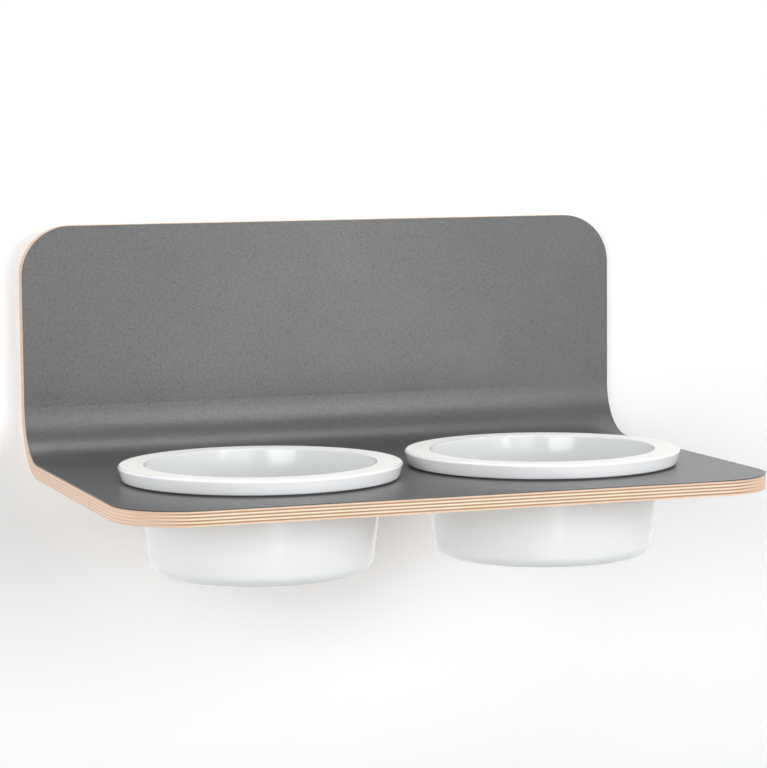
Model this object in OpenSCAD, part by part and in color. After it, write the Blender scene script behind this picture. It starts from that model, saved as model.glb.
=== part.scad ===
// Feeding shelf for a wall: a bent plywood panel with two bowls that hang in it by their rims.
// X runs along the wall, Y points at the wall and Z points up. The wall is the plane Y = 0, and the
// origin lies midway between the entry holes of the two keyhole hangers.

/* [Panel] */
// Width of the panel, from side to side
panel_width = 470; // [440:5:560]
// Height of the back above the top of the shelf
back_height = 172; // [140:2:240]
// Depth of the shelf in front of the back
shelf_depth = 312; // [270:2:380]
// Inside radius of the bend between back and shelf
bend_radius = 38; // [20:1:55]
// Radius of the two upper corners of the back
top_corner_radius = 37; // [10:1:60]
// Radius of the two front corners of the shelf
front_corner_radius = 50; // [10:1:70]

/* [Layers] */
// Thickness of the grey laminate
laminate_thickness = 0.8; // [0.5:0.1:1.5]
// Thickness of each of the nine veneers
veneer_thickness = 1.1; // [0.9:0.05:1.5]

/* [Bowls] */
// Diameter of the bowl where it passes the top of the shelf
body_diameter = 171; // [166:1:176]
// How far the bowl's wall leans in from the top of the shelf down to its base
body_taper = 8.5; // [2:0.5:16]
// Depth of the bowl below the top of the shelf
bowl_depth = 64.5; // [50:0.5:100]
// Thickness of the bowl's wall
bowl_wall = 6.6; // [5:0.2:8]
// Thickness of the bowl's floor
bowl_floor = 5.5; // [4.5:0.5:9]
// Gap between the bowl and the edge of its cut-out, measured along the shelf
cutout_clearance = 2; // [1:0.5:3]
// How far the foot of the rim reaches past the edge of its cut-out
rim_overlap = 9; // [8:0.25:11]
// How far the top of the rim stands out past its foot
rim_flare = 3.25; // [2:0.25:5]
// Height of the rim
rim_height = 10.4; // [9:0.2:16]
// Thickness of the rim's top and of the skirt round it
rim_wall = 4.8; // [4:0.2:6]
// Radius of the outer edge round the base
base_edge_radius = 9; // [4:1:14]
// Radius between wall and floor inside the bowl
floor_edge_radius = 14; // [6:1:20]
// Gap between the two rims
bowl_gap = 12.5; // [6:0.5:20]

/* [Seat rings] */
// Thickness of the seat ring under a rim
ring_thickness = 1; // [0.6:0.1:2]
// Width of the seat ring's band
ring_width = 5; // [3:0.5:5.5]

/* [Hangers] */
// Distance between the two hangers
hanger_spacing = 300; // [200:10:340]
// Distance from the top of the back down to the hangers' entry holes
hanger_drop = 45; // [40:1:60]
// Width of a hanger plate
hanger_width = 18; // [16:1:24]
// Length of a hanger plate
hanger_length = 52; // [48:1:60]
// Thickness of a hanger plate
hanger_thickness = 2; // [1.5:0.1:2.5]
// Diameter of the hole that a wall screw's head enters
entry_diameter = 10; // [9:0.5:12]
// Width of the slot that a wall screw's shank slides up
slot_width = 5.2; // [4:0.1:6]
// Distance that the shelf drops onto the wall screws
slot_travel = 10; // [8:0.5:12]

/* [Hidden] */
$fn = 96;

// How far every cut runs past what it cuts
overrun = 2;
left = -1;
right = 1;

// How far the seat ring's edge stays back under the foot of the rim
ring_inset = 0.8;

// Roundings of the rim: outer top edge, foot, and the edge round the opening
rim_edge_radius = 1.6;
foot_edge_radius = 1.2;
opening_edge_radius = 1.4;
// Rounding of the groove under the rim
groove_radius = 1.8;
// The inside wall of the bowl is steeper above this depth below the top of the shelf
inside_break_depth = 10.6;
inside_break_wall = 5.8;
inside_break_radius = 60;
// Turn of each flat step that makes up a round corner of the bowl's section, wider where its radius is small
small_radius = 4;
small_radius_step = 18;
large_radius_step = 7.5;
// The hollow under the base, which leaves a ring for the bowl to stand on
base_hollow_depth = 1.5;
base_ring_width = 7;
base_hollow_edge_radius = 0.7;

// Hanger plate: corner radius, gap round it in its pocket, place of its wood screws
hanger_corner_radius = 4;
pocket_clearance = 0.2;
hanger_screw_inset = 6;
// Room behind the plate for a wall screw's head
head_pocket_margin = 1;
head_pocket_depth = 6;

// Countersunk wood screw
screw_length = 8;
screw_shank_diameter = 3;
screw_head_diameter = 6.4;
screw_head_height = 1.7;
screw_tip_length = 2.4;
screw_tip_diameter = 0.4;
screw_clearance = 0.05;
pilot_extra_depth = 0.5;
recess_width = 0.7;
recess_length = 3.4;
recess_depth = 1.1;

veneer_count = 9;
veneer_stack = veneer_count * veneer_thickness;
panel_thickness = laminate_thickness + veneer_stack;

// Planes and lines of the panel
face_y = -panel_thickness;
front_edge_y = face_y - shelf_depth;
panel_top_z = hanger_drop;
shelf_top_z = panel_top_z - back_height;
bend_centre_y = face_y - bend_radius;
bend_centre_z = shelf_top_z + bend_radius;
bend_outer_radius = bend_radius + panel_thickness;

// The bowls stand midway between the bend and the front edge
bowl_y = (bend_centre_y + front_edge_y) / 2;
cutout_radius = body_diameter / 2 + cutout_clearance;
rim_foot_radius = cutout_radius + rim_overlap;
rim_radius = rim_foot_radius + rim_flare;
bowl_spacing = 2 * rim_radius + bowl_gap;

// Heights on a bowl, counted from the top of the shelf
rim_foot_z = ring_thickness;
rim_top_z = rim_foot_z + rim_height;
rim_underside_z = rim_top_z - rim_wall;
base_z = -bowl_depth;
floor_z = base_z + bowl_floor;

hanger_centre_z = slot_travel / 2;
hanger_screw_reach = hanger_length / 2 - hanger_screw_inset;

// Outer radius of the bowl's wall at a height
function body_radius(z) = body_diameter / 2 + body_taper * z / bowl_depth;
function inner_radius(z) = body_radius(z) - bowl_wall;

function direction(from, to) = (to - from) / norm(to - from);

// Points along a round corner of radius r at point p, from the edge that comes from point a to the
// edge that leads on to point b
function corner_arc(a, p, b, r) =
    let (
        to_a = direction(p, a),
        to_b = direction(p, b),
        half = acos(to_a * to_b) / 2,
        start = p + to_a * r / tan(half),
        centre = p + direction([0, 0], to_a + to_b) * r / sin(half),
        spoke = start - centre,
        turn = sign(cross(-to_a, to_b)) * (180 - 2 * half),
        steps = ceil(abs(turn) / (r < small_radius ? small_radius_step : large_radius_step)) + 1
    )
    [
        for (step = [0:steps])
            let (angle = turn * step / steps)
            centre + [spoke.x * cos(angle) - spoke.y * sin(angle), spoke.x * sin(angle) + spoke.y * cos(angle)]
    ];

// Outline through corners that are each given as [point, radius], where radius 0 leaves a corner sharp
function rounded_outline(corners) = [
    for (i = [0:len(corners) - 1])
        let (
            last = corners[(i + len(corners) - 1) % len(corners)],
            this = corners[i],
            next = corners[(i + 1) % len(corners)]
        )
        each this[1] > 0 ? corner_arc(last[0], this[0], next[0], this[1]) : [this[0]]
];

// Outline from bottom to top, with its two upper corners rounded
module arched_outline(width, bottom, top, radius) {
    translate([-width / 2, bottom]) square([width, top - bottom - radius]);
    translate([radius - width / 2, bottom]) square([width - 2 * radius, top - bottom]);
    for (side = [left, right])
        translate([side * (width / 2 - radius), top - radius]) circle(r = radius);
}

// Rectangle about the origin with four round corners
module rounded_rectangle(width, length, radius) {
    square([width, length - 2 * radius], center = true);
    square([width - 2 * radius, length], center = true);
    for (side = [left, right], end = [-1, 1])
        translate([side * (width / 2 - radius), end * (length / 2 - radius)]) circle(r = radius);
}

// Draws a flat shape on the wall plane, so that it reaches from there into the panel
module from_wall(depth) {
    rotate([90, 0, 0]) linear_extrude(height = depth) children();
}

// Side view of one layer that lies depth behind the front face, as it leaves the mould
module bent_profile(depth, thickness) {
    translate([face_y + depth, bend_centre_z])
        square([thickness, panel_top_z - bend_centre_z + overrun]);
    translate([front_edge_y - overrun, shelf_top_z - depth - thickness])
        square([bend_centre_y - front_edge_y + overrun, thickness]);
    translate([bend_centre_y, bend_centre_z]) intersection() {
        difference() {
            circle(r = bend_radius + depth + thickness);
            circle(r = bend_radius + depth);
        }
        translate([0, -bend_outer_radius]) square(bend_outer_radius);
    }
}

// The blank's trimmed outline, seen from the front
module back_trim() {
    translate([0, overrun, 0]) rotate([90, 0, 0])
        linear_extrude(height = panel_thickness + shelf_depth + 2 * overrun)
            arched_outline(panel_width, shelf_top_z - panel_thickness - overrun, panel_top_z, top_corner_radius);
}

// The blank's trimmed outline, seen from above
module shelf_trim() {
    translate([0, 0, shelf_top_z - panel_thickness - overrun]) mirror([0, 1, 0])
        linear_extrude(height = back_height + panel_thickness + 2 * overrun)
            arched_outline(panel_width, -overrun, -front_edge_y, front_corner_radius);
}

module bowl_cutouts() {
    for (side = [left, right])
        translate([side * bowl_spacing / 2, bowl_y, shelf_top_z - panel_thickness - overrun])
            cylinder(h = panel_thickness + 2 * overrun, r = cutout_radius);
}

// Keyhole: an entry hole with a slot that rises from it
module keyhole() {
    circle(d = entry_diameter);
    translate([-slot_width / 2, 0]) square([slot_width, slot_travel]);
    translate([0, slot_travel]) circle(d = slot_width);
}

// Room for the head of a wall screw along the whole keyhole
module head_path() {
    head_path_radius = entry_diameter / 2 + head_pocket_margin;
    circle(r = head_path_radius);
    translate([-head_path_radius, 0]) square([2 * head_path_radius, slot_travel]);
    translate([0, slot_travel]) circle(r = head_path_radius);
}

module at_hangers() {
    for (side = [left, right])
        translate([side * hanger_spacing / 2, 0, 0]) children();
}

module at_hanger_screws() {
    for (end = [-1, 1])
        translate([0, 0, hanger_centre_z + end * hanger_screw_reach]) rotate([90, 0, 0]) children();
}

// Everything that is routed or drilled into the panel from behind
module hanger_pockets() {
    at_hangers() {
        translate([0, overrun, hanger_centre_z]) from_wall(overrun + hanger_thickness)
            rounded_rectangle(
                hanger_width + 2 * pocket_clearance,
                hanger_length + 2 * pocket_clearance,
                hanger_corner_radius + pocket_clearance
            );
        translate([0, overrun, 0]) from_wall(overrun + head_pocket_depth) head_path();
        at_hanger_screws()
            cylinder(h = screw_length + pilot_extra_depth, r = screw_shank_diameter / 2 + screw_clearance);
    }
}

// One layer of the panel, trimmed and drilled with all the others
module layer(depth, thickness) {
    difference() {
        intersection() {
            rotate([90, 0, 90])
                linear_extrude(height = panel_width + 2 * overrun, center = true) bent_profile(depth, thickness);
            back_trim();
            shelf_trim();
        }
        bowl_cutouts();
        hanger_pockets();
    }
}

module front_laminate() {
    color("#6e6e6f") layer(0, laminate_thickness);
}

// Veneers count from the laminate towards the wall
module long_veneer(number) {
    color("#f3e3c4") layer(laminate_thickness + (number - 1) * veneer_thickness, veneer_thickness);
}

module cross_veneer(number) {
    color("#c49d7c") layer(laminate_thickness + (number - 1) * veneer_thickness, veneer_thickness);
}

module at_bowl(side) {
    translate([side * bowl_spacing / 2, bowl_y, shelf_top_z]) children();
}

module seat_ring(side) {
    color("#3c3d3f") at_bowl(side) difference() {
        cylinder(h = ring_thickness, r = rim_foot_radius - ring_inset);
        translate([0, 0, -overrun])
            cylinder(h = ring_thickness + 2 * overrun, r = rim_foot_radius - ring_inset - ring_width);
    }
}

// Half of the bowl's section, from the middle of its base out, up and over the rim and back down inside.
// The rim is a ledge and a skirt round the wall, hollow from below.
module bowl_half() {
    base_hollow_radius = body_radius(base_z) - base_edge_radius - base_ring_width;
    skirt_lean = rim_flare / rim_height;
    skirt_inside = [rim_foot_radius - rim_wall, rim_foot_z];
    polygon(rounded_outline([
        [[0, base_z + base_hollow_depth], 0],
        [[base_hollow_radius, base_z + base_hollow_depth], base_hollow_edge_radius],
        [[base_hollow_radius, base_z], base_hollow_edge_radius],
        [[body_radius(base_z), base_z], base_edge_radius],
        [[body_radius(rim_underside_z), rim_underside_z], groove_radius],
        [skirt_inside + [skirt_lean, 1] * (rim_underside_z - rim_foot_z), groove_radius],
        [skirt_inside, foot_edge_radius],
        [[rim_foot_radius, rim_foot_z], foot_edge_radius],
        [[rim_radius, rim_top_z], rim_edge_radius],
        [[inner_radius(rim_top_z), rim_top_z], opening_edge_radius],
        [[body_radius(-inside_break_depth) - inside_break_wall, -inside_break_depth], inside_break_radius],
        [[inner_radius(floor_z), floor_z], floor_edge_radius],
        [[0, floor_z], 0]
    ]));
}

module bowl(side) {
    color("#e6ebea") at_bowl(side) rotate_extrude() bowl_half();
}

module hanger_plate(side) {
    color("#b9bcc0") translate([side * hanger_spacing / 2, 0, 0]) difference() {
        translate([0, 0, hanger_centre_z]) from_wall(hanger_thickness)
            rounded_rectangle(hanger_width, hanger_length, hanger_corner_radius);
        translate([0, overrun, 0]) from_wall(hanger_thickness + 2 * overrun) keyhole();
        at_hanger_screws() {
            cylinder(h = hanger_thickness + overrun, r = screw_shank_diameter / 2 + screw_clearance);
            cylinder(
                h = screw_head_height,
                r1 = screw_head_diameter / 2 + screw_clearance,
                r2 = screw_shank_diameter / 2 + screw_clearance
            );
        }
    }
}

// Countersunk screw that points away from the wall, with a cross recess in its head
module wood_screw() {
    difference() {
        union() {
            cylinder(h = screw_head_height, d1 = screw_head_diameter, d2 = screw_shank_diameter);
            cylinder(h = screw_length - screw_tip_length, d = screw_shank_diameter);
            translate([0, 0, screw_length - screw_tip_length])
                cylinder(h = screw_tip_length, d1 = screw_shank_diameter, d2 = screw_tip_diameter);
        }
        for (turn = [0, 90])
            rotate([0, 0, turn])
                translate([-recess_length / 2, -recess_width / 2, -overrun])
                    cube([recess_length, recess_width, overrun + recess_depth]);
    }
}

module hanger_screws() {
    color("#d5d6d4") at_hangers() at_hanger_screws() wood_screw();
}

front_laminate();
long_veneer(1);  // veneer_1_long
cross_veneer(2);  // veneer_2_cross
long_veneer(3);  // veneer_3_long
cross_veneer(4);  // veneer_4_cross
long_veneer(5);  // veneer_5_long
cross_veneer(6);  // veneer_6_cross
long_veneer(7);  // veneer_7_long
cross_veneer(8);  // veneer_8_cross
long_veneer(9);  // veneer_9_long
seat_ring(left);  // seat_ring_left
seat_ring(right);  // seat_ring_right
bowl(left);  // bowl_left
bowl(right);  // bowl_right
hanger_plate(left);  // hanger_plate_left
hanger_plate(right);  // hanger_plate_right
hanger_screws();
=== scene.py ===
import math

import bpy
from mathutils import Matrix, Vector


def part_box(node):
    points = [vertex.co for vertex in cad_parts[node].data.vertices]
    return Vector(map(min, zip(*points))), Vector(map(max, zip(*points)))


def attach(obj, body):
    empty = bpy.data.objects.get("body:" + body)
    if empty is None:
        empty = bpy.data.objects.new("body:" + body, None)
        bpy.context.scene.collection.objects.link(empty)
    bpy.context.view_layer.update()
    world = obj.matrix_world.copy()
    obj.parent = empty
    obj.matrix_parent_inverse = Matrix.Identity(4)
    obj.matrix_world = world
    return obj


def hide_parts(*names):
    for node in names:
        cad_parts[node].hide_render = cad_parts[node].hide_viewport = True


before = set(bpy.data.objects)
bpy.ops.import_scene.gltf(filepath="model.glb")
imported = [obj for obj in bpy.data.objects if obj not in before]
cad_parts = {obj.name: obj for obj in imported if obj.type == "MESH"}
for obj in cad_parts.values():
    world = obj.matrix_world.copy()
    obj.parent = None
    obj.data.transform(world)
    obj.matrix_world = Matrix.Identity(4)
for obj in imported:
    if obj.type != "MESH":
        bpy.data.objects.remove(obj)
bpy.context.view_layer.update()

millimetre = 0.001


# Sizes of the panel, and its planes and the line of its bend as the frame has them. A surface counts as one
# of the panel's faces, and not as a cut edge, by how squarely it looks in or out of the panel.
panel = {
    "bendRadius": 38 * millimetre,
    "laminate": 0.8 * millimetre,
    "faceRange": (0.4, 0.8),
}
laminateLow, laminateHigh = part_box("front_laminate")
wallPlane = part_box("veneer_9_long")[1].y
panelThickness = wallPlane - laminateHigh.y + panel["laminate"]
faceY = wallPlane - panelThickness
shelfTop = laminateLow.z + panel["laminate"]
bendY = faceY - panel["bendRadius"]
bendZ = shelfTop + panel["bendRadius"]
print("frame read: shelf top at", round(shelfTop, 4), "panel", round(panelThickness, 4), "thick")


# Small helpers for node trees
def addNode(tree, kind, **values):
    node = tree.nodes.new(kind)
    for name, value in values.items():
        setattr(node, name, value)
    return node


def feed(tree, socket, source):
    # a socket takes another socket, or a plain value
    if isinstance(source, bpy.types.NodeSocket):
        tree.links.new(source, socket)
    else:
        socket.default_value = source


def calc(tree, operation, first, second=0.0):
    node = addNode(tree, "ShaderNodeMath", operation=operation)
    feed(tree, node.inputs[0], first)
    feed(tree, node.inputs[1], second)
    return node.outputs[0]


def addShares(tree, *parts):
    # the sum of some values, each times its share
    total = 0.0
    for value, share in parts:
        total = calc(tree, "ADD", total, calc(tree, "MULTIPLY", value, share))
    return total


def excess(tree, first, second):
    # how far the first value is past the second one, and 0 where it isn't
    return calc(tree, "MAXIMUM", calc(tree, "SUBTRACT", first, second), 0.0)


def diagonal(tree, first, second):
    # how far a point is from a middle, given its distance each way
    squares = calc(tree, "ADD", calc(tree, "POWER", first, 2.0), calc(tree, "POWER", second, 2.0))
    return calc(tree, "SQRT", squares)


def remap(tree, source, low, high, newLow=0.0, newHigh=1.0):
    # the dictionaries below keep these limits in the same order
    node = addNode(tree, "ShaderNodeMapRange", clamp=True)
    for socket, value in zip(node.inputs, (source, low, high, newLow, newHigh)):
        feed(tree, socket, value)
    return node.outputs[0]


# A Mix node keeps its two plain values in sockets 2 and 3, and its two colours in sockets 6 and 7
def blendValue(tree, share, first, second):
    node = addNode(tree, "ShaderNodeMix", data_type="FLOAT")
    feed(tree, node.inputs[0], share)
    feed(tree, node.inputs[2], first)
    feed(tree, node.inputs[3], second)
    return node.outputs[0]


def blendColour(tree, share, first, second, way="MIX"):
    node = addNode(tree, "ShaderNodeMix", data_type="RGBA", blend_type=way)
    feed(tree, node.inputs[0], share)
    feed(tree, node.inputs[6], first)
    feed(tree, node.inputs[7], second)
    return node.outputs[2]


def combine(tree, x, y, z):
    node = addNode(tree, "ShaderNodeCombineXYZ")
    for socket, value in zip(node.inputs, (x, y, z)):
        feed(tree, socket, value)
    return node.outputs[0]


def separate(tree, vector):
    node = addNode(tree, "ShaderNodeSeparateXYZ")
    feed(tree, node.inputs[0], vector)
    return node.outputs


def toneColour(tree, colour, tone):
    # a tone below 1 makes the colour darker, and past 1 lighter
    return blendColour(tree, 1.0, colour, combine(tree, tone, tone, tone), "MULTIPLY")


def noise(tree, vector, stretch=None, scale=1.0, detail=3.0, rough=0.5, distortion=0.0):
    if stretch:
        stretched = addNode(tree, "ShaderNodeVectorMath", operation="MULTIPLY")
        feed(tree, stretched.inputs[0], vector)
        feed(tree, stretched.inputs[1], stretch)
        vector = stretched.outputs[0]
    node = addNode(tree, "ShaderNodeTexNoise")
    feed(tree, node.inputs["Vector"], vector)
    feed(tree, node.inputs["Scale"], scale)
    feed(tree, node.inputs["Detail"], detail)
    feed(tree, node.inputs["Roughness"], rough)
    feed(tree, node.inputs["Distortion"], distortion)
    return node.outputs["Fac"]


def makeGroup(name, inputs, outputs):
    group = bpy.data.node_groups.new(name, "ShaderNodeTree")
    for label, kind in inputs:
        group.interface.new_socket(name=label, in_out="INPUT", socket_type="NodeSocket" + kind)
    for label, kind in outputs:
        group.interface.new_socket(name=label, in_out="OUTPUT", socket_type="NodeSocket" + kind)
    return group, group.nodes.new("NodeGroupInput").outputs, group.nodes.new("NodeGroupOutput").inputs


def placeGroup(tree, group, values):
    node = addNode(tree, "ShaderNodeGroup", node_tree=group)
    for label, value in values.items():
        feed(tree, node.inputs[label], value)
    return node.outputs


def makeMaterial(name):
    material = bpy.data.materials.new(name)
    material.use_nodes = True
    tree = material.node_tree
    return material, tree, tree.nodes["Principled BSDF"], addNode(tree, "ShaderNodeTexCoord").outputs


def addBump(tree, shader, height, depth):
    node = addNode(tree, "ShaderNodeBump")
    node.inputs["Strength"].default_value = 1.0
    node.inputs["Distance"].default_value = depth
    feed(tree, node.inputs["Height"], height)
    feed(tree, shader.inputs["Normal"], node.outputs["Normal"])


def setShader(shader, **values):
    for label, value in values.items():
        shader.inputs[label.replace("_", " ")].default_value = value


# The panel laid out flat: X runs across it, Y from the front of the shelf over the bend and up the back, and
# Z in from the face. Grain and pebbles follow it, so that they run round the bend without a stretch.
def buildFlatPanel():
    tree, given, made = makeGroup(
        "flatPanel",
        [("Point", "Vector"), ("Normal", "Vector")],
        [("Flat Point", "Vector"), ("Face Mask", "Float")],
    )
    point = separate(tree, given["Point"])
    normal = separate(tree, given["Normal"])
    behind = excess(tree, point[1], bendY)
    inFront = excess(tree, bendY, point[1])
    below = excess(tree, bendZ, point[2])
    above = excess(tree, point[2], bendZ)
    angle = calc(tree, "ARCTAN2", behind, below)
    roundBend = calc(tree, "MULTIPLY", angle, panel["bendRadius"])
    along = calc(tree, "ADD", calc(tree, "SUBTRACT", above, inFront), roundBend)
    depth = calc(tree, "SUBTRACT", diagonal(tree, behind, below), panel["bendRadius"])
    feed(tree, made["Flat Point"], combine(tree, point[0], along, depth))
    # the mask is 1 on the two faces of a layer and 0 on its cut edges
    backwards = calc(tree, "MULTIPLY", normal[1], calc(tree, "SINE", angle))
    upwards = calc(tree, "MULTIPLY", normal[2], calc(tree, "COSINE", angle))
    facing = calc(tree, "ABSOLUTE", calc(tree, "SUBTRACT", backwards, upwards))
    feed(tree, made["Face Mask"], remap(tree, facing, *panel["faceRange"]))
    return tree


# Birch with its fibres along X, or along the flat panel's Y where Across is 1. The same fibres show as
# lines on a side and as dots on an end.
fibres = {
    "rings": {"stretch": (2.6, 30, 30), "detail": 4.0, "rough": 0.55, "distortion": 0.8},
    "ringCount": 34.0,
    "ringShare": 0.32,
    "clouds": {"stretch": (7, 55, 400)},
    "cloudRange": (0.35, 0.7),
    "cloudShare": 0.25,
    "fine": {"stretch": (55, 1500, 2600), "detail": 4.0, "rough": 0.65},
    "fineRange": (0.3, 0.72),
    "fineShare": 0.5,
    "fineTone": (0.25, 0.8, 0.93, 1.06),
    "fineRoughness": (0.25, 0.75, 0.42, 0.58),
    "fineHeight": 0.6,
    "pores": {"stretch": (190, 2300, 2300), "detail": 2.0},
    "poreRange": (0.6, 0.7),
    "poreColour": (0.16, 0.085, 0.04, 1),
    "poreOnSide": 0.14,
    "poreOnEnd": 0.3,
    "poreHeight": -0.5,
    "endRange": (0.1, 0.8),
    "endRoughness": 0.14,
}


def buildBirchGrain():
    tree, given, made = makeGroup(
        "birchGrain",
        [
            ("Flat Point", "Vector"),
            ("Normal", "Vector"),
            ("Across", "Float"),
            ("Seed", "Float"),
            ("Face Mask", "Float"),
            ("Side Colour", "Color"),
            ("Streak Colour", "Color"),
            ("End Colour", "Color"),
        ],
        [("Colour", "Color"), ("Roughness", "Float"), ("Height", "Float")],
    )
    flat = separate(tree, given["Flat Point"])
    sideways = calc(tree, "ABSOLUTE", separate(tree, given["Normal"])[0])
    end = blendValue(tree, given["Across"], sideways, calc(tree, "SUBTRACT", 1.0, sideways))
    along = blendValue(tree, given["Across"], flat[0], flat[1])
    across = blendValue(tree, given["Across"], flat[1], flat[0])
    seed = given["Seed"]
    fibre = combine(tree, calc(tree, "ADD", along, seed), calc(tree, "ADD", across, seed), flat[2])
    clouds = noise(tree, fibre, **fibres["clouds"])
    fine = noise(tree, fibre, **fibres["fine"])
    pores = remap(tree, noise(tree, fibre, **fibres["pores"]), *fibres["poreRange"])
    # the growth rings show only on the two faces
    rings = noise(tree, fibre, **fibres["rings"])
    wave = calc(tree, "SINE", calc(tree, "MULTIPLY", rings, fibres["ringCount"]))
    figure = calc(tree, "ADD", calc(tree, "MULTIPLY", wave, 0.5), 0.5)
    figure = calc(tree, "MULTIPLY", figure, given["Face Mask"])
    streaks = addShares(
        tree,
        (remap(tree, fine, *fibres["fineRange"]), fibres["fineShare"]),
        (figure, fibres["ringShare"]),
        (remap(tree, clouds, *fibres["cloudRange"]), fibres["cloudShare"]),
    )
    colour = blendColour(tree, streaks, given["Side Colour"], given["Streak Colour"])
    colour = blendColour(tree, remap(tree, end, *fibres["endRange"]), colour, given["End Colour"])
    poreShare = blendValue(tree, end, fibres["poreOnSide"], fibres["poreOnEnd"])
    colour = blendColour(tree, calc(tree, "MULTIPLY", pores, poreShare), colour, fibres["poreColour"])
    feed(tree, made["Colour"], toneColour(tree, colour, remap(tree, fine, *fibres["fineTone"])))
    rough = addShares(tree, (remap(tree, fine, *fibres["fineRoughness"]), 1.0), (end, fibres["endRoughness"]))
    feed(tree, made["Roughness"], rough)
    height = addShares(tree, (fine, fibres["fineHeight"]), (pores, fibres["poreHeight"]))
    feed(tree, made["Height"], height)
    return tree


# The closed pebbles that a textured press plate leaves in laminate
pebbles = {
    "smoothness": 0.6,
    "domeShare": 0.5,
    "grain": {"detail": 3.0, "rough": 0.6},
    "grainsPerPebble": 1.9,
    "grainShare": 0.6,
    "clouds": {"scale": 9.0, "detail": 4.0, "rough": 0.55},
}


def buildPebbleSkin():
    tree, given, made = makeGroup(
        "pebbleSkin",
        [("Flat Point", "Vector"), ("Cell", "Float")],
        [("Pebble", "Float"), ("Cloud", "Float")],
    )
    scale = calc(tree, "DIVIDE", 1.0, given["Cell"])
    cells = addNode(tree, "ShaderNodeTexVoronoi", feature="SMOOTH_F1")
    feed(tree, cells.inputs["Vector"], given["Flat Point"])
    feed(tree, cells.inputs["Scale"], scale)
    cells.inputs["Smoothness"].default_value = pebbles["smoothness"]
    cells.inputs["Randomness"].default_value = 1.0
    dome = calc(tree, "SUBTRACT", 1.0, cells.outputs["Distance"])
    grainScale = calc(tree, "MULTIPLY", scale, pebbles["grainsPerPebble"])
    grain = noise(tree, given["Flat Point"], scale=grainScale, **pebbles["grain"])
    pebble = addShares(tree, (dome, pebbles["domeShare"]), (grain, pebbles["grainShare"]))
    feed(tree, made["Pebble"], pebble)
    feed(tree, made["Cloud"], noise(tree, given["Flat Point"], **pebbles["clouds"]))
    return tree


flatPanel = buildFlatPanel()
birchGrain = buildBirchGrain()
pebbleSkin = buildPebbleSkin()

greyLaminate = {
    "darkPebble": (0.046, 0.046, 0.047, 1),
    "lightPebble": (0.113, 0.113, 0.114, 1),
    "cutEdge": (0.045, 0.042, 0.04, 1),
    "pebbleSize": 1.25 * millimetre,
    "pebbleDepth": 0.09 * millimetre,
    "pebbleRange": (0.25, 0.85),
    "pebbleShare": 0.75,
    "cloudRange": (0.3, 0.7),
    "cloudShare": 0.25,
    "roughness": (0.3, 0.8, 0.36, 0.3),
}


def makeLaminate():
    material, tree, shader, coords = makeMaterial("greyLaminate")
    flat = placeGroup(tree, flatPanel, {"Point": coords["Object"], "Normal": coords["Normal"]})
    skin = placeGroup(
        tree,
        pebbleSkin,
        {"Flat Point": flat["Flat Point"], "Cell": greyLaminate["pebbleSize"]},
    )
    light = addShares(
        tree,
        (remap(tree, skin["Pebble"], *greyLaminate["pebbleRange"]), greyLaminate["pebbleShare"]),
        (remap(tree, skin["Cloud"], *greyLaminate["cloudRange"]), greyLaminate["cloudShare"]),
    )
    face = blendColour(tree, light, greyLaminate["darkPebble"], greyLaminate["lightPebble"])
    colour = blendColour(tree, flat["Face Mask"], greyLaminate["cutEdge"], face)
    feed(tree, shader.inputs["Base Color"], colour)
    feed(tree, shader.inputs["Roughness"], remap(tree, skin["Pebble"], *greyLaminate["roughness"]))
    setShader(shader, Specular_IOR_Level=0.5)
    addBump(tree, shader, skin["Pebble"], greyLaminate["pebbleDepth"])
    return material


birch = {
    "veneers": 9,
    "outerSide": (0.87, 0.64, 0.47, 1),
    "innerSide": (0.95, 0.86, 0.66, 1),
    "crossSide": (0.88, 0.68, 0.55, 1),
    "streak": (0.78, 0.56, 0.37, 1),
    "lightEnd": (0.74, 0.50, 0.37, 1),
    "darkEnd": (0.46, 0.26, 0.16, 1),
    "fibreDepth": 0.03 * millimetre,
    "seedStep": 0.37,
}


def makeVeneer(number, across, side, end):
    material, tree, shader, coords = makeMaterial("birch" + str(number))
    flat = placeGroup(tree, flatPanel, {"Point": coords["Object"], "Normal": coords["Normal"]})
    grain = placeGroup(
        tree,
        birchGrain,
        {
            "Flat Point": flat["Flat Point"],
            "Normal": coords["Normal"],
            "Across": across,
            "Seed": number * birch["seedStep"],
            "Face Mask": flat["Face Mask"],
            "Side Colour": birch[side],
            "Streak Colour": birch["streak"],
            "End Colour": birch[end],
        },
    )
    feed(tree, shader.inputs["Base Color"], grain["Colour"])
    feed(tree, shader.inputs["Roughness"], grain["Roughness"])
    setShader(shader, Specular_IOR_Level=0.4)
    addBump(tree, shader, grain["Height"], birch["fibreDepth"])
    return material


def paint(node, material):
    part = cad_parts[node]
    part.data.materials.clear()
    part.data.materials.append(material)


# Odd veneers have their fibres along the panel's width and even ones across it. The outermost are redder.
def dressVeneer(number):
    outermost = number in (1, birch["veneers"])
    if number % 2:
        material = makeVeneer(number, 0.0, "outerSide" if outermost else "innerSide", "lightEnd")
        paint(f"veneer_{number}_long", material)
    else:
        paint(f"veneer_{number}_cross", makeVeneer(number, 1.0, "crossSide", "darkEnd"))


paint("front_laminate", makeLaminate())
for number in range(1, birch["veneers"] + 1):
    dressVeneer(number)
print("laminate and", birch["veneers"], "veneers finished")

silicone = {
    "base": (0.022, 0.023, 0.025, 1),
    "dust": (0.06, 0.06, 0.062, 1),
    "specks": {"scale": 900.0, "detail": 4.0},
    "speckRange": (0.45, 0.75),
    "speckDepth": 0.02 * millimetre,
    "roughness": (0.5, 0.7),
}


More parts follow.
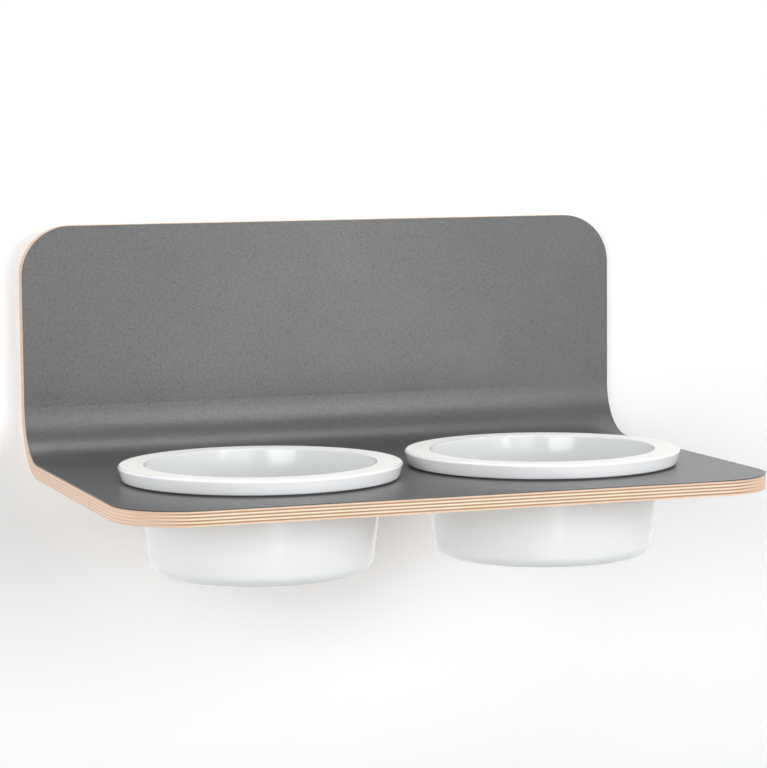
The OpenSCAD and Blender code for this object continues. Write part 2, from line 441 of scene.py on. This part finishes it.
def makeSilicone():
    material, tree, shader, coords = makeMaterial("darkSilicone")
    dust = remap(tree, noise(tree, coords["Object"], **silicone["specks"]), *silicone["speckRange"])
    feed(tree, shader.inputs["Base Color"], blendColour(tree, dust, silicone["base"], silicone["dust"]))
    feed(tree, shader.inputs["Roughness"], blendValue(tree, dust, *silicone["roughness"]))
    addBump(tree, shader, dust, silicone["speckDepth"])
    return material


zinc = {
    "bright": (0.62, 0.64, 0.66, 1),
    "dull": (0.42, 0.43, 0.44, 1),
    "tint": (0.60, 0.56, 0.42, 1),
    "tintShare": 0.22,
    "brushing": {"stretch": (2600, 2600, 90), "rough": 0.6},
    "brushRange": (0.3, 0.7),
    "brushDepth": 0.012 * millimetre,
    "patches": {"scale": 130.0, "detail": 4.0, "rough": 0.6},
    "patchRange": (0.35, 0.7),
    "roughness": (0.28, 0.42),
}
screws = {"headRadius": 3.2 * millimetre, "turningLines": 26000.0, "turningShare": 0.25}


# Brushed plate, or turned screw heads where the frame's box of the screws is given
def makeZinc(name, screwBox=None):
    material, tree, shader, coords = makeMaterial(name)
    point = coords["Object"]
    brushed = noise(tree, point, **zinc["brushing"])
    if screwBox:
        low, high = screwBox
        place = separate(tree, point)
        besideHead = calc(tree, "ABSOLUTE", place[0])
        besideHead = calc(tree, "SUBTRACT", besideHead, high.x - screws["headRadius"])
        overHead = calc(tree, "ABSOLUTE", calc(tree, "SUBTRACT", place[2], (low.z + high.z) / 2))
        overHead = calc(tree, "SUBTRACT", overHead, (high.z - low.z) / 2 - screws["headRadius"])
        radius = diagonal(tree, besideHead, overHead)
        turned = calc(tree, "SINE", calc(tree, "MULTIPLY", radius, screws["turningLines"]))
        share = screws["turningShare"]
        brushed = addShares(tree, (turned, share), (brushed, 1 - share))
    patches = remap(tree, noise(tree, point, **zinc["patches"]), *zinc["patchRange"])
    colour = blendColour(tree, remap(tree, brushed, *zinc["brushRange"]), zinc["dull"], zinc["bright"])
    tintShare = calc(tree, "MULTIPLY", patches, zinc["tintShare"])
    feed(tree, shader.inputs["Base Color"], blendColour(tree, tintShare, colour, zinc["tint"]))
    feed(tree, shader.inputs["Roughness"], blendValue(tree, patches, *zinc["roughness"]))
    setShader(shader, Metallic=1.0)
    addBump(tree, shader, brushed, zinc["brushDepth"])
    return material


siliconeMaterial = makeSilicone()
plateMaterial = makeZinc("zincPlate")
for side in ("left", "right"):
    paint("seat_ring_" + side, siliconeMaterial)
    paint("hanger_plate_" + side, plateMaterial)
paint("hanger_screws", makeZinc("zincScrews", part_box("hanger_screws")))
print("rings, hangers and screws finished")


# Sizes of a bowl, with its heights counted from the top of the shelf
bowlSizes = {
    "bodyRadius": 85.5 * millimetre,
    "lean": 8.5 * millimetre,
    "depth": 64.5 * millimetre,
    "wall": 6.6 * millimetre,
    "floor": 5.5 * millimetre,
    "rimFoot": 1.0 * millimetre,
    "rimFootRadius": 96.5 * millimetre,
    "rimFlare": 3.25 * millimetre,
    "rimHeight": 10.4 * millimetre,
    "rimWall": 4.8 * millimetre,
    "steepDepth": 10.6 * millimetre,
    "steepWall": 5.8 * millimetre,
    "hollowDepth": 1.5 * millimetre,
    "standingRing": 7 * millimetre,
}
# Rounding of each edge, and the steps that make it
bowlEdges = {
    "hollow": (0.7 * millimetre, 3),
    "base": (9 * millimetre, 14),
    "groove": (1.8 * millimetre, 6),
    "footInside": (1.2 * millimetre, 5),
    "footOutside": (1.2 * millimetre, 6),
    "rim": (1.6 * millimetre, 8),
    "opening": (1.4 * millimetre, 8),
    "steepening": (60 * millimetre, 8),
    "floor": (14 * millimetre, 16),
}
bowlMesh = {
    "around": 192,
    "floorShare": 0.55,
    "smoothAngle": 32,
    "ringReach": 0.02 * millimetre,
    "doubles": 0.001 * millimetre,
    "rimTopReach": 0.05 * millimetre,
    "rimTopNormal": 0.9,
}
bowlBase = -bowlSizes["depth"]
bowlTop = bowlSizes["rimFoot"] + bowlSizes["rimHeight"]


def bodyRadius(height):
    return bowlSizes["bodyRadius"] + bowlSizes["lean"] * height / bowlSizes["depth"]


def outlineBowl():
    # radius, height, rounding and steps of each edge, from the hollow under the base up the outside, over
    # the rim and down inside
    floor = bowlBase + bowlSizes["floor"]
    hollow = bodyRadius(bowlBase) - bowlEdges["base"][0] - bowlSizes["standingRing"]
    ledge = bowlTop - bowlSizes["rimWall"]
    foot = bowlSizes["rimFoot"]
    footRadius = bowlSizes["rimFootRadius"]
    skirt = footRadius - bowlSizes["rimWall"]
    skirtLean = bowlSizes["rimFlare"] / bowlSizes["rimHeight"]
    steep = -bowlSizes["steepDepth"]
    return [
        (hollow, bowlBase + bowlSizes["hollowDepth"], *bowlEdges["hollow"]),
        (hollow, bowlBase, *bowlEdges["hollow"]),
        (bodyRadius(bowlBase), bowlBase, *bowlEdges["base"]),
        (bodyRadius(ledge), ledge, *bowlEdges["groove"]),
        (skirt + skirtLean * (ledge - foot), ledge, *bowlEdges["groove"]),
        (skirt, foot, *bowlEdges["footInside"]),
        (footRadius, foot, *bowlEdges["footOutside"]),
        (footRadius + bowlSizes["rimFlare"], bowlTop, *bowlEdges["rim"]),
        (bodyRadius(bowlTop) - bowlSizes["wall"], bowlTop, *bowlEdges["opening"]),
        (bodyRadius(steep) - bowlSizes["steepWall"], steep, *bowlEdges["steepening"]),
        (bodyRadius(floor) - bowlSizes["wall"], floor, *bowlEdges["floor"]),
    ]


porcelain = {
    "glaze": (0.815, 0.845, 0.86, 1),
    # paler glaze for the clouds, also used as painted light on the rim's down-facing side
    "paleGlazeAndPaintedRimLight": (0.895, 0.905, 0.915, 1),
    # painted shade for the inside of the bowl
    "insidePaintedShade": (0.762, 0.777, 0.775, 1),
    "bareFoot": (0.60, 0.57, 0.52, 1),
    "footHeight": 0.5 * millimetre,
    "footFade": 0.1 * millimetre,
    "footEdge": {"scale": 400.0, "detail": 2.0},
    "footRoughness": 0.8,
    # band and share of the painted light on the rim
    "paintedRimLightBand": 12 * millimetre,
    "paintedRimLightShare": 0.75,
    "clouds": {"scale": 22.0},
    "cloudRange": (0.3, 0.7, 0.0, 0.25),
    "insidePaintedShadeFade": 1 * millimetre,
    "undersideBand": (3 * millimetre, 4 * millimetre),
    "gloss": {"scale": 60.0},
    "glossRange": (0.3, 0.7, 0.07, 0.12),
    "waves": {"scale": 38.0, "detail": 2.0, "rough": 0.4},
    "waveDepth": 0.02 * millimetre,
}


def makePorcelain(centre):
    material, tree, shader, coords = makeMaterial("whitePorcelain")
    point = coords["Object"]
    place = separate(tree, point)
    height = calc(tree, "SUBTRACT", place[2], shelfTop)
    # the glaze is paler in clouds, and paler towards the rim as painted light on the rim's shaded,
    # down-facing side
    band = porcelain["paintedRimLightBand"]
    paintedRimLight = remap(tree, height, bowlTop - band, bowlTop - band / 2, 0.0, porcelain["paintedRimLightShare"])
    clouds = remap(tree, noise(tree, point, **porcelain["clouds"]), *porcelain["cloudRange"])
    colour = blendColour(tree, calc(tree, "ADD", paintedRimLight, clouds), porcelain["glaze"], porcelain["paleGlazeAndPaintedRimLight"])
    # painted shade: the inside is darker, from half way through the wall, but the underside of the base is
    # not
    # (the bowls stand as far left as right, so that both can share this material)
    x = calc(tree, "SUBTRACT", calc(tree, "ABSOLUTE", place[0]), abs(centre.x))
    y = calc(tree, "SUBTRACT", place[1], centre.y)
    middleLow = bodyRadius(bowlBase) - bowlSizes["wall"] / 2
    middleHigh = bodyRadius(bowlTop) - bowlSizes["wall"] / 2
    middle = remap(tree, height, bowlBase, bowlTop, middleLow, middleHigh)
    inwards = calc(tree, "SUBTRACT", middle, diagonal(tree, x, y))
    inside = remap(tree, inwards, -porcelain["insidePaintedShadeFade"], porcelain["insidePaintedShadeFade"])
    aboveUnderside = remap(tree, height, *[bowlBase + reach for reach in porcelain["undersideBand"]])
    inside = calc(tree, "MULTIPLY", inside, aboveUnderside)
    colour = blendColour(tree, inside, colour, porcelain["insidePaintedShade"])
    # the foot is wiped bare up to a ragged line
    edge = noise(tree, point, **porcelain["footEdge"])
    footTop = calc(tree, "ADD", bowlBase, calc(tree, "MULTIPLY", edge, 2 * porcelain["footHeight"]))
    bare = remap(tree, calc(tree, "SUBTRACT", footTop, height), 0.0, porcelain["footFade"])
    feed(tree, shader.inputs["Base Color"], blendColour(tree, bare, colour, porcelain["bareFoot"]))
    gloss = remap(tree, noise(tree, point, **porcelain["gloss"]), *porcelain["glossRange"])
    feed(tree, shader.inputs["Roughness"], blendValue(tree, bare, gloss, porcelain["footRoughness"]))
    setShader(shader, IOR=1.5)
    addBump(tree, shader, noise(tree, point, **porcelain["waves"]), porcelain["waveDepth"])
    return material


# The flat top of the rim, wiped clean of glaze before the firing
wipedRim = {
    "clay": (0.89, 0.885, 0.865, 1),
    "speck": (0.86, 0.85, 0.825, 1),
    "specks": {"scale": 700.0, "detail": 4.0, "rough": 0.6},
    "speckRange": (0.5, 0.75),
    "roughness": (0.55, 0.7),
    "tooth": {"scale": 900.0},
    "toothDepth": 0.01 * millimetre,
}


def makeWipedRim():
    material, tree, shader, coords = makeMaterial("wipedRim")
    point = coords["Object"]
    specks = remap(tree, noise(tree, point, **wipedRim["specks"]), *wipedRim["speckRange"])
    feed(tree, shader.inputs["Base Color"], blendColour(tree, specks, wipedRim["clay"], wipedRim["speck"]))
    feed(tree, shader.inputs["Roughness"], blendValue(tree, specks, *wipedRim["roughness"]))
    setShader(shader, Specular_IOR_Level=0.15)
    addBump(tree, shader, noise(tree, point, **wipedRim["tooth"]), wipedRim["toothDepth"])
    return material


def deselectAll():
    if bpy.context.mode != "OBJECT":
        bpy.ops.object.mode_set(mode="OBJECT")
    bpy.ops.object.select_all(action="DESELECT")


def tangentLength(before, corner, after, radius):
    # how far from a corner its rounding starts
    first = (Vector(before) - Vector(corner)).normalized()
    second = (Vector(after) - Vector(corner)).normalized()
    return radius / math.tan(first.angle(second) / 2)


def selectRing(part, centre, radius, height):
    # the loop of edges that lies at this radius and height
    bpy.ops.mesh.select_mode(type="VERT")
    bpy.ops.mesh.select_all(action="DESELECT")
    bpy.ops.object.mode_set(mode="OBJECT")
    for vertex in part.data.vertices:
        place = vertex.co - centre
        near = abs(math.hypot(place.x, place.y) - radius) < bowlMesh["ringReach"]
        vertex.select = near and abs(place.z - height) < bowlMesh["ringReach"]
    bpy.ops.object.mode_set(mode="EDIT")
    bpy.ops.mesh.select_mode(type="EDGE")


def drawIn(share, centre):
    bpy.ops.transform.resize(value=(share, share, 1), center_override=centre)


def turnBowl(name, body, node, glazed, wiped):
    low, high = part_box(node)
    centre = Vector(((low.x + high.x) / 2, (low.y + high.y) / 2, shelfTop))
    outline = outlineBowl()
    points = [(radius, height) for radius, height, rounding, steps in outline]
    deselectAll()
    bpy.ops.mesh.primitive_circle_add(
        vertices=bowlMesh["around"],
        radius=points[0][0],
        fill_type="NGON",
        location=centre + Vector((0, 0, points[0][1])),
    )
    bowl = bpy.context.object
    bowl.name = name
    bpy.ops.object.transform_apply(location=True, rotation=True, scale=True)
    bpy.ops.object.mode_set(mode="EDIT")
    # each ring is pulled up or down from the one before and drawn to its own radius
    selectRing(bowl, centre, *points[0])
    for before, after in zip(points, points[1:]):
        bpy.ops.mesh.extrude_edges_move(TRANSFORM_OT_translate={"value": (0, 0, after[1] - before[1])})
        drawIn(after[0] / before[0], centre)
    bpy.ops.mesh.extrude_edges_move(TRANSFORM_OT_translate={"value": (0, 0, 0)})
    drawIn(bowlMesh["floorShare"], centre)
    bpy.ops.mesh.edge_face_add()
    ends = [(0.0, points[0][1])] + points + [(0.0, points[-1][1])]
    for index, (radius, height, rounding, steps) in enumerate(outline):
        selectRing(bowl, centre, radius, height)
        bpy.ops.mesh.bevel(
            offset=tangentLength(ends[index], ends[index + 1], ends[index + 2], rounding),
            segments=steps,
            profile=0.5,
            affect="EDGES",
            clamp_overlap=False,
        )
    bpy.ops.mesh.select_all(action="SELECT")
    bpy.ops.mesh.remove_doubles(threshold=bowlMesh["doubles"])
    bpy.ops.mesh.normals_make_consistent(inside=False)
    bpy.ops.object.mode_set(mode="OBJECT")
    bpy.ops.object.shade_smooth_by_angle(angle=math.radians(bowlMesh["smoothAngle"]))
    weights = bowl.modifiers.new("evenNormals", "WEIGHTED_NORMAL")
    weights.keep_sharp = True
    bpy.ops.object.modifier_apply(modifier=weights.name)
    bowl.data.materials.append(glazed)
    bowl.data.materials.append(wiped)
    for face in bowl.data.polygons:
        nearTop = face.center.z - centre.z > bowlTop - bowlMesh["rimTopReach"]
        facesUp = face.normal.z > bowlMesh["rimTopNormal"]
        face.material_index = 1 if nearTop and facesUp else 0
    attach(bowl, body)
    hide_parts(node)
    print(name, "turned:", len(bowl.data.polygons), "faces")


rightLow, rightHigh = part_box("bowl_right")
glazeMaterial = makePorcelain((rightLow + rightHigh) / 2)
rimMaterial = makeWipedRim()
for side in ("left", "right"):
    turnBowl("porcelain_bowl_" + side, "bowl_" + side, "bowl_" + side, glazeMaterial, rimMaterial)


# The wall shows only to the camera, from the room's side, and the floor only from above. Both let all
# other light through, so that views from behind and below stay lit.
room = {
    "wall": (0.94, 0.955, 0.97, 1),
    "floor": (0.86, 0.86, 0.86, 1),
    "lift": 0.08,
    "mottle": {"scale": 3.0, "detail": 2.0},
    "mottleTone": (0.3, 0.7, 0.985, 1.0),
    "wallGap": 0.5 * millimetre,
    "size": 8.0,
    "floorZ": -0.75,
}


def makeRoomMaterial(name, colour):
    material, tree, shader, coords = makeMaterial(name)
    tone = remap(tree, noise(tree, coords["Object"], **room["mottle"]), *room["mottleTone"])
    feed(tree, shader.inputs["Base Color"], toneColour(tree, colour, tone))
    setShader(shader, Roughness=1.0, Specular_IOR_Level=0.0)
    setShader(shader, Emission_Color=(1, 1, 1, 1), Emission_Strength=room["lift"])
    path = addNode(tree, "ShaderNodeLightPath").outputs
    surface = addNode(tree, "ShaderNodeNewGeometry").outputs
    front = calc(tree, "SUBTRACT", 1.0, surface["Backfacing"])
    clear = addNode(tree, "ShaderNodeBsdfTransparent")
    mix = addNode(tree, "ShaderNodeMixShader")
    feed(tree, mix.inputs[0], calc(tree, "MULTIPLY", path["Is Camera Ray"], front))
    feed(tree, mix.inputs[1], clear.outputs[0])
    feed(tree, mix.inputs[2], shader.outputs[0])
    feed(tree, tree.nodes["Material Output"].inputs["Surface"], mix.outputs[0])
    return material


def addBackdrop(name, location, rotation):
    deselectAll()
    bpy.ops.mesh.primitive_plane_add(size=room["size"], location=location, rotation=rotation)
    plane = bpy.context.object
    plane.name = name
    plane.data.materials.append(makeRoomMaterial(name + "Paint", room[name]))


addBackdrop("wall", (0, room["wallGap"], room["floorZ"] + room["size"] / 2), (math.pi / 2, 0, 0))
addBackdrop("floor", (0, 0, room["floorZ"]), (0, 0, 0))


# Lamps and cards stand on spheres round the middle of the shelf. Azimuth runs from the wall's normal
# towards the right, and share is the light that a surface facing the lamp gets, as a share of plain white.
# The lamps only light the surfaces, and the cards are panels that only gloss mirrors.
lamps = {
    "keyFront": {"azimuth": 28, "elevation": 10, "distance": 2.2, "size": (1.4, 1.0), "share": 0.28},
    "keySide": {"azimuth": 45, "elevation": 8, "distance": 2.2, "size": (1.0, 1.0), "share": 0.34},
    "leftFront": {"azimuth": -30, "elevation": 5, "distance": 2.2, "size": (1.0, 1.0), "share": 0.44},
    "leftSide": {"azimuth": -60, "elevation": 5, "distance": 2.2, "size": (1.0, 1.0), "share": 0.16},
    "low": {"azimuth": -5, "elevation": -60, "distance": 2.2, "size": (1.6, 0.8), "share": 0.04},
    "top": {"azimuth": 0, "elevation": 84, "distance": 1.8, "size": (1.4, 0.9), "share": 0.42},
}
cards = {
    "strip": {"azimuth": -3, "elevation": 4, "distance": 2.4, "size": (0.6, 2.4), "share": 0.17},
    "sheenLow": {"azimuth": 18.5, "elevation": -3.25, "distance": 2.2, "size": (0.31, 0.52), "share": 0.12},
    "sheenBetween": {"azimuth": 18.5, "elevation": 6, "distance": 2.2, "size": (1.3, 0.36), "share": 0.027},
    "sheenHigh": {"azimuth": 18.5, "elevation": 26, "distance": 2.2, "size": (0.31, 1.2), "share": 0.30},
    "sheenTop": {"azimuth": 180, "elevation": 78, "distance": 1.8, "size": (1.6, 1.3), "share": 0.95},
    "window": {"azimuth": -39, "elevation": 6, "distance": 2.2, "size": (1.0, 0.24), "share": 0.09},
}
shelfMiddle = Vector((0, bendY, shelfTop))


def addLamp(name, mirrored, azimuth, elevation, distance, size, share):
    turn = math.radians(azimuth)
    rise = math.radians(elevation)
    away = Vector((math.sin(turn) * math.cos(rise), -math.cos(turn) * math.cos(rise), math.sin(rise)))
    data = bpy.data.lights.new(name, "AREA")
    data.shape = "RECTANGLE"
    data.size, data.size_y = size
    data.energy = share * (math.pi * distance) ** 2
    lamp = bpy.data.objects.new(name, data)
    bpy.context.scene.collection.objects.link(lamp)
    lamp.location = shelfMiddle + away * distance
    lamp.rotation_euler = away.to_track_quat("Z", "Y").to_euler()
    lamp.visible_camera = False
    lamp.visible_glossy = mirrored
    lamp.visible_diffuse = not mirrored


for name, lamp in lamps.items():
    addLamp(name, mirrored=False, **lamp)
for name, card in cards.items():
    addLamp(name, mirrored=True, **card)


# The world is white where it is seen or mirrored. Its fill light is dim from the room, and as bright as
# the lit wall from behind.
fill = {"room": 0.05, "wall": 1.0, "seam": 0.1}


def makeWorld():
    world = bpy.data.worlds.new("studio")
    bpy.context.scene.world = world
    world.use_nodes = True
    tree = world.node_tree
    background = tree.nodes["Background"]
    background.inputs["Color"].default_value = (1, 1, 1, 1)
    path = addNode(tree, "ShaderNodeLightPath").outputs
    towards = separate(tree, addNode(tree, "ShaderNodeTexCoord").outputs["Generated"])
    soft = remap(tree, towards[1], -fill["seam"], fill["seam"], fill["room"], fill["wall"])
    seen = calc(tree, "MAXIMUM", path["Is Camera Ray"], path["Is Glossy Ray"])
    seen = calc(tree, "MAXIMUM", seen, path["Is Transmission Ray"])
    feed(tree, background.inputs["Strength"], blendValue(tree, seen, soft, 1.0))


makeWorld()

# The photo's camera, fitted to the panel's corners and edges, with its turns in radians
view = {
    "position": (-0.6565, -2.0179, 0.1214),
    "yaw": 0.3369,
    "pitch": 0.0955,
    "roll": -0.009,
    "lens": 129.57,
    "sensor": 36,
    "nearest": 0.05,
    "farthest": 50,
}


def addCamera():
    yaw, pitch, roll = view["yaw"], view["pitch"], view["roll"]
    level = Vector((math.cos(yaw), -math.sin(yaw), 0))
    ahead = Vector((math.sin(yaw) * math.cos(pitch), math.cos(yaw) * math.cos(pitch), -math.sin(pitch)))
    above = level.cross(ahead)
    right = level * math.cos(roll) + above * math.sin(roll)
    up = above * math.cos(roll) - level * math.sin(roll)
    data = bpy.data.cameras.new("photoCamera")
    data.sensor_width = view["sensor"]
    data.sensor_fit = "AUTO"
    data.lens = view["lens"]
    data.clip_start = view["nearest"]
    data.clip_end = view["farthest"]
    camera = bpy.data.objects.new("photoCamera", data)
    bpy.context.scene.collection.objects.link(camera)
    axes = Matrix((right, up, -ahead)).transposed()
    camera.matrix_world = Matrix.Translation(view["position"]) @ axes.to_4x4()
    bpy.context.scene.camera = camera


addCamera()
bpy.context.scene.view_settings.view_transform = "Standard"
print("room, lamps and camera finished")
